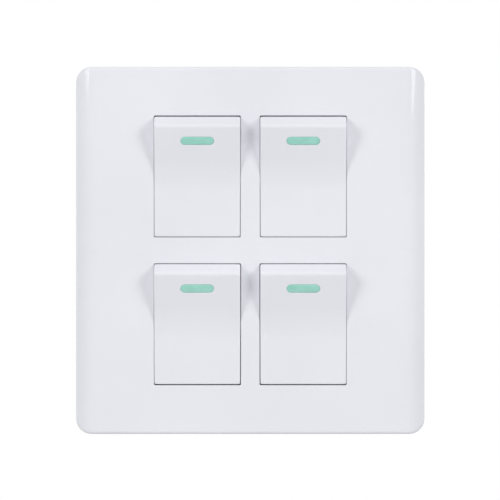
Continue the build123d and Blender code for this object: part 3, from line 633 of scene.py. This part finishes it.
def moulded_plastic(name, low, high, rough, grain_mm, relief_mm, cloud_mm=25.0, **more):
    """Injection-moulded plastic: a base colour that drifts a shade over centimetres, a roughness
    that follows the mould's fine relief, and that relief as bump."""
    made, tree = new_material(name)
    cloud = speckle(tree, cloud_mm, 2.0)
    grain = speckle(tree, grain_mm, 4.0)
    inputs = {"Height": grain, "Distance": relief_mm * MM, "Strength": 1.0}
    bump = add_node(tree, "ShaderNodeBump", inputs=inputs)
    inputs = {
        "Base Color": between(tree, ranged(tree, cloud, 0, 1), low, high),
        "Roughness": ranged(tree, grain, rough[0], rough[1]),
        "Normal": bump.outputs[0],
        "IOR": 1.5,
    }
    inputs.update(more)
    finish_material(tree, add_node(tree, "ShaderNodeBsdfPrincipled", inputs=inputs))
    return made


def worked_metal(name, low, high, rough, line_mm, relief_mm, stretch):
    """Drawn or stamped metal: fine lines along one direction in roughness and bump, and a colour
    that dulls in patches."""
    made, tree = new_material(name)
    patches = speckle(tree, 4.0, 3.0)
    lines = speckle(tree, line_mm, 2.0, stretch)
    inputs = {"Height": lines, "Distance": relief_mm * MM, "Strength": 1.0}
    bump = add_node(tree, "ShaderNodeBump", inputs=inputs)
    inputs = {
        "Base Color": between(tree, ranged(tree, patches, 0, 1), low, high),
        "Roughness": ranged(tree, lines, rough[0], rough[1]),
        "Metallic": 1.0,
        "Normal": bump.outputs[0],
    }
    finish_material(tree, add_node(tree, "ShaderNodeBsdfPrincipled", inputs=inputs))
    return made


def glossy_urea():
    """Polished white urea moulding, cover and rockers: an even cold white with a soft gloss that
    shows the lamps on its bends, and a ripple too slight to see except in them."""
    weaker = {"Specular IOR Level": 0.3}
    rough, name = (0.04, 0.06), "glossy_white_urea"
    return moulded_plastic(name, "#EAEBF1", "#EDEEF4", rough, 3.0, 0.0003, 30.0, **weaker)


def satin_abs():
    """Unpolished white ABS of the mounting frame: warmer and duller, with the fine spark texture
    of the mould."""
    return moulded_plastic("satin_white_abs", "#E4E4E1", "#EBEBE8", (0.42, 0.58), 0.35, 0.012)


def housing_polycarbonate():
    """Milky polycarbonate of the rear housing: a greyer white, slightly rough, with flow marks."""
    return moulded_plastic("milky_polycarbonate", "#E2E3E0", "#E6E7E5", (0.34, 0.5), 0.5, 0.015, 12.0)


def mint_acrylic():
    """Translucent mint acrylic of the indicators: light goes a little way in, so the pill glows
    softly, and its colour drifts a shade in small patches."""
    made, tree = new_material("translucent_mint_acrylic")
    cloud = speckle(tree, 2.5, 2.0)
    inputs = {
        "Base Color": between(tree, ranged(tree, cloud, 0, 1), "#9CD9C9", "#A6E0D2"),
        "Roughness": 0.2,
        "IOR": 1.49,
        "Subsurface Weight": 0.25,
        "Subsurface Radius": (0.6, 1.0, 0.8),
        "Subsurface Scale": 0.6 * MM,
    }
    finish_material(tree, add_node(tree, "ShaderNodeBsdfPrincipled", inputs=inputs))
    return made


def acetal():
    """Natural acetal of the plungers: waxy white that slides against the brass."""
    return moulded_plastic("natural_acetal", "#E9E8E2", "#F0EFEA", (0.3, 0.4), 0.6, 0.006, 4.0, IOR=1.48)


def colour_of(values):
    """A colour property as the hex colour that the materials take."""
    parts = [12.92 * v if v <= 0.0031308 else 1.055 * v ** (1 / 2.4) - 0.055 for v in values[:3]]
    return "#" + "".join(f"{round(255 * part):02X}" for part in parts)


class SwitchSizes(bpy.types.PropertyGroup):
    """Radii of the moulded edges, in metres."""
    window_edge: bpy.props.FloatProperty(
        name="Window edge", description="Radius of the cover's window edges",
        default=0.16 * MM, unit="LENGTH"
    )
    outer_edge: bpy.props.FloatProperty(
        name="Outer edge", description="Inset of the cover's rounded outer edge",
        default=0.7 * MM, unit="LENGTH"
    )
    rocker_edge: bpy.props.FloatProperty(
        name="Rocker edge", description="Radius of the rockers' edges", default=0.24 * MM, unit="LENGTH"
    )
    rocker_corner: bpy.props.FloatProperty(
        name="Rocker corner", description="Radius of the rockers' corners seen from the front",
        default=0.45 * MM, unit="LENGTH"
    )


class SwitchStage(bpy.types.PropertyGroup):
    """Lamps, floor and camera."""
    side_power: bpy.props.FloatProperty(
        name="Side lights", description="Power of each side softbox", default=7.55, unit="POWER"
    )
    top_power: bpy.props.FloatProperty(
        name="Top light", description="Power of the overhead softbox", default=1.3, unit="POWER"
    )
    ambient: bpy.props.FloatProperty(
        name="Ambient", description="Strength of the even light from all round", default=0.365, min=0.0
    )
    floor_colour: bpy.props.FloatVectorProperty(
        name="Floor", description="Colour of the floor", subtype="COLOR", size=4, default=linear("#E8E8E8")
    )
    distance: bpy.props.FloatProperty(
        name="Camera distance", description="From the camera to the wall", default=1.5, unit="LENGTH"
    )
    field: bpy.props.FloatProperty(
        name="Field width", description="Width of the picture at the switch's front",
        default=0.12306, unit="LENGTH"
    )


class SWITCH_OT_cover(bpy.types.Operator):
    """Makes the snap-on cover plate with its four windows"""
    bl_idname = "light_switch.cover"
    bl_label = "Cover plate"

    def execute(self, context):
        sizes = context.scene.switch_sizes
        surfaces = []
        for side_x in (-1, 1):
            for side_z in (-1, 1):
                quarter = cover_quarter(sizes.window_edge / MM, sizes.outer_edge / MM, side_z < 0)
                for points, faces in quarter:
                    surfaces.append((points * (side_x, 1, side_z), faces[:, ::side_x * side_z]))
        cover = piece("cover", surfaces)
        cover.data.materials.append(glossy_urea())
        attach(cover, "base")
        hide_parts("cover_plate")
        return {"FINISHED"}


class SWITCH_OT_rockers(bpy.types.Operator):
    """Makes the four hollow rockers with their rounded edges"""
    bl_idname = "light_switch.rockers"
    bl_label = "Rockers"

    def execute(self, context):
        sizes = context.scene.switch_sizes
        surfaces = rocker_surfaces(sizes.rocker_edge / MM, sizes.rocker_corner / MM)
        surfaces += rocker_details()
        material = bpy.data.materials["glossy_white_urea"]
        for gang, place in GANG_PLACE.items():
            placed = [(to_frame(points, place), faces) for points, faces in surfaces]
            rocker = piece(f"{gang}_rocker_shell", placed)
            rocker.data.materials.append(material)
            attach(rocker, f"{gang}_rocker_body")
            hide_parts(f"{gang}_rocker")
        return {"FINISHED"}


class SWITCH_OT_indicators(bpy.types.Operator):
    """Makes the pale inserts in the rockers' sloping faces"""
    bl_idname = "light_switch.indicators"
    bl_label = "Indicators"

    def execute(self, context):
        material = mint_acrylic()
        points, faces = indicator_surface()
        for gang, place in GANG_PLACE.items():
            lens = piece(f"{gang}_indicator_lens", [(to_frame(points, place), faces)])
            lens.data.materials.append(material)
            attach(lens, f"{gang}_rocker_body")
            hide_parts(f"{gang}_indicator")
        return {"FINISHED"}


class SWITCH_OT_springs(bpy.types.Operator):
    """Makes the compression springs inside the rockers' bosses"""
    bl_idname = "light_switch.springs"
    bl_label = "Springs"

    def execute(self, context):
        # Hard-drawn steel wire: dark bright metal with fine lines along it
        rough, along = (0.22, 0.38), (1, 1, 4)
        steel = worked_metal("drawn_spring_steel", "#8E9094", "#A5A7AA", rough, 0.3, 0.002, along)
        points, faces = spring_surface()
        for gang, place in GANG_PLACE.items():
            spring = piece(f"{gang}_spring_coil", [(to_frame(points, place), faces)])
            spring.data.materials.append(steel)
            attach(spring, f"{gang}_rocker_body")
            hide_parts(f"{gang}_spring")
            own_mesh(spring)
        return {"FINISHED"}


class SWITCH_OT_screws(bpy.types.Operator):
    """Makes the housing screws and the terminal screws with slots and threads"""
    bl_idname = "light_switch.screws"
    bl_label = "Screws"

    def execute(self, context):
        # Zinc-plated steel: pale grey-blue, a soft sheen with fine turning marks
        zinc = worked_metal("zinc_plated_steel", "#B4B8BC", "#C9CCCE", (0.28, 0.42), 0.4, 0.003, (1, 3, 1))
        # Every slot is left at a turn of its own, in radians
        surfaces = []
        sizes = (JOIN_HEAD_D, JOIN_HEAD_R, JOIN_HEAD_T, JOIN_R, JOIN_TIP_D)
        for x, turn in ((-JOIN_X, 0.6), (JOIN_X, 1.6)):
            surfaces += screw((x, 0), *sizes, turn, JOIN_PITCH)
        joined = piece("housing_screw_pair", surfaces)
        joined.data.materials.append(zinc)
        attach(joined, "base")
        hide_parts("housing_screws")

        surfaces = []
        sizes = (TERMINAL_HEAD_D, TERMINAL_HEAD_R, TERMINAL_HEAD_T, TERMINAL_R, TERMINAL_TIP_D)
        for k, (x, z) in enumerate(GANG_PLACE.values()):
            for end in (-1, 1):
                place = (x + math.copysign(TERMINAL_X, x), z + end * TERMINAL_Z)
                surfaces += screw(place, *sizes, 0.5 * k + 0.9 * end, TERMINAL_PITCH)
        clamps = piece("terminal_screw_set", surfaces)
        clamps.data.materials.append(zinc)
        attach(clamps, "base")
        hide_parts("terminal_screws")
        return {"FINISHED"}


class SWITCH_OT_carrier(bpy.types.Operator):
    """Finishes the mounting frame, the rear housing and the plungers, which keep their CAD shape"""
    bl_idname = "light_switch.carrier"
    bl_label = "Frame, housing and plungers"

    def execute(self, context):
        dress("mounting_frame", satin_abs())
        dress("rear_housing", housing_polycarbonate())
        material = acetal()
        for gang in GANG_PLACE:
            dress(f"{gang}_plunger", material)
        return {"FINISHED"}


class SWITCH_OT_contacts(bpy.types.Operator):
    """Finishes the brass bridges and terminals and the silver contact tips"""
    bl_idname = "light_switch.contacts"
    bl_label = "Contacts and terminals"

    def execute(self, context):
        # Stamped brass strip: yellow metal with rolling lines, dulled in patches
        brass = worked_metal("stamped_brass", "#C9A65A", "#D9BC78", (0.26, 0.42), 0.35, 0.003, (1, 1, 5))
        # Silver alloy tips: white metal, softly dulled
        silver = worked_metal("silver_alloy", "#C8C8C4", "#DCDCD8", (0.3, 0.45), 0.5, 0.003, (1, 1, 1))
        for gang in GANG_PLACE:
            for node in ("bridge", "common_terminal", "switched_terminal"):
                dress(f"{gang}_{node}", brass)
            for node in ("moving_contact", "fixed_contact"):
                dress(f"{gang}_{node}", silver)
        return {"FINISHED"}


class SWITCH_OT_stage(bpy.types.Operator):
    """Sets up the floor, the soft lights, the white background and the camera"""
    bl_idname = "light_switch.stage"
    bl_label = "Floor, lights and camera"

    def execute(self, context):
        stage = context.scene.switch_stage
        set_floor(stage)
        set_world(stage)
        place_lamp("left_softbox", stage.side_power, (-1.01, -0.83, 0.48), (0.5, 0.845), -3.0)
        place_lamp("right_softbox", stage.side_power, (1.01, -0.83, 0.48), (0.5, 0.87), 3.0)
        place_lamp("top_softbox", stage.top_power, (0, -0.3, 1.0), (1.2, 0.5), 0)
        camera = bpy.data.cameras.new("front_camera")
        camera.sensor_width = SENSOR
        camera.lens = SENSOR * (stage.distance - PLATE_FRONT * MM) / stage.field
        camera.clip_start = 0.01
        holder = bpy.data.objects.new("front_camera", camera)
        context.scene.collection.objects.link(holder)
        holder.location = (CAMERA_X * MM, -stage.distance, CAMERA_Z * MM)
        holder.rotation_euler = (math.pi / 2, 0, 0)
        context.scene.camera = holder
        context.scene.view_settings.view_transform = "Standard"
        return {"FINISHED"}


def dress(node, material):
    """Gives a CAD node its finish, in every material slot it has."""
    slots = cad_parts[node].data.materials
    if not len(slots):
        slots.append(material)
    for k in range(len(slots)):
        slots[k] = material


def place_lamp(name, power, place, size, roll):
    """A soft rectangular lamp that looks at the switch, its place and size in metres, rolled about
    its line of sight by some degrees."""
    data = bpy.data.lights.new(name, "AREA")
    data.shape = "RECTANGLE"
    data.size, data.size_y = size
    data.energy = power
    lamp = bpy.data.objects.new(name, data)
    bpy.context.scene.collection.objects.link(lamp)
    lamp.location = place
    aim = (-Vector(place)).to_track_quat("-Z", "Y")
    lamp.rotation_euler = (aim @ Quaternion((0, 0, 1), math.radians(roll))).to_euler()
    lamp.visible_camera = False


def set_floor(stage):
    """A plain pale floor well below the switch, a gently curved sheet so that it has no hard edge."""
    line = np.linspace(-1, 1, FLOOR_LINES)
    u, v = np.meshgrid(line, line)
    z = FLOOR_Z - FLOOR_SAG * (u ** 2 + v ** 2) ** 2
    points = np.stack([FLOOR_HALF * u, FLOOR_HALF * v, z], axis=-1)
    mesh = bpy.data.meshes.new("floor")
    mesh.from_pydata(points.reshape(-1, 3).tolist(), [], quads(FLOOR_LINES, FLOOR_LINES).tolist())
    mesh.shade_smooth()
    floor = bpy.data.objects.new("floor", mesh)
    bpy.context.scene.collection.objects.link(floor)
    made, tree = new_material("painted_floor")
    tone = colour_of(stage.floor_colour)
    inputs = {"Base Color": between(tree, speckle(tree, 60), tone, "#EDEDED"), "Roughness": 0.6}
    finish_material(tree, add_node(tree, "ShaderNodeBsdfPrincipled", inputs=inputs))
    mesh.materials.append(made)
    floor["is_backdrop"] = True


def set_world(stage):
    """Even light from all round, and white wherever the camera, a reflection or glass sees past."""
    world = bpy.data.worlds.new("studio")
    bpy.context.scene.world = world
    world.use_nodes = True
    tree = world.node_tree
    tree.nodes.clear()
    path = add_node(tree, "ShaderNodeLightPath")
    white_light = {"Color": linear("#FFFFFF")}
    seen = path.outputs["Is Camera Ray"]
    for name in ("Is Glossy Ray", "Is Transmission Ray"):
        inputs = {0: seen, 1: path.outputs[name]}
        seen = add_node(tree, "ShaderNodeMath", {"operation": "MAXIMUM"}, inputs).outputs[0]
    ambient = add_node(tree, "ShaderNodeBackground", inputs={**white_light, "Strength": stage.ambient})
    white = add_node(tree, "ShaderNodeBackground", inputs={**white_light, "Strength": 1.0})
    inputs = {0: seen, 1: ambient.outputs[0], 2: white.outputs[0]}
    mixed = add_node(tree, "ShaderNodeMixShader", inputs=inputs)
    add_node(tree, "ShaderNodeOutputWorld", inputs={"Surface": mixed.outputs[0]})


STEPS = (
    SWITCH_OT_cover, SWITCH_OT_rockers, SWITCH_OT_indicators, SWITCH_OT_springs, SWITCH_OT_screws,
    SWITCH_OT_carrier, SWITCH_OT_contacts, SWITCH_OT_stage,
)


class SWITCH_PT_panel(bpy.types.Panel):
    """Lists the steps that dress the switch"""
    bl_idname = "SWITCH_PT_panel"
    bl_label = "Four-gang light switch"
    bl_space_type = "VIEW_3D"
    bl_region_type = "UI"
    bl_category = "Light switch"

    def draw(self, context):
        for group in (context.scene.switch_sizes, context.scene.switch_stage):
            for name in group.__annotations__:
                self.layout.prop(group, name)
        for step in STEPS:
            self.layout.operator(step.bl_idname)


CLASSES = (SwitchSizes, SwitchStage) + STEPS + (SWITCH_PT_panel,)


def register():
    for kind in CLASSES:
        bpy.utils.register_class(kind)
    bpy.types.Scene.switch_sizes = bpy.props.PointerProperty(type=SwitchSizes)
    bpy.types.Scene.switch_stage = bpy.props.PointerProperty(type=SwitchStage)


def unregister():
    del bpy.types.Scene.switch_stage
    del bpy.types.Scene.switch_sizes
    for kind in reversed(CLASSES):
        bpy.utils.unregister_class(kind)


def main():
    register()
    bpy.ops.light_switch.cover()
    bpy.ops.light_switch.rockers()
    bpy.ops.light_switch.indicators()
    bpy.ops.light_switch.springs()
    bpy.ops.light_switch.screws()
    bpy.ops.light_switch.carrier()
    bpy.ops.light_switch.contacts()
    bpy.ops.light_switch.stage()
    boxes = {"cad": CAD_BOX, "visual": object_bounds()}
    boxes = {name: [[float(v) for v in corner] for corner in box] for name, box in boxes.items()}


if __name__ == "__main__":
    main()
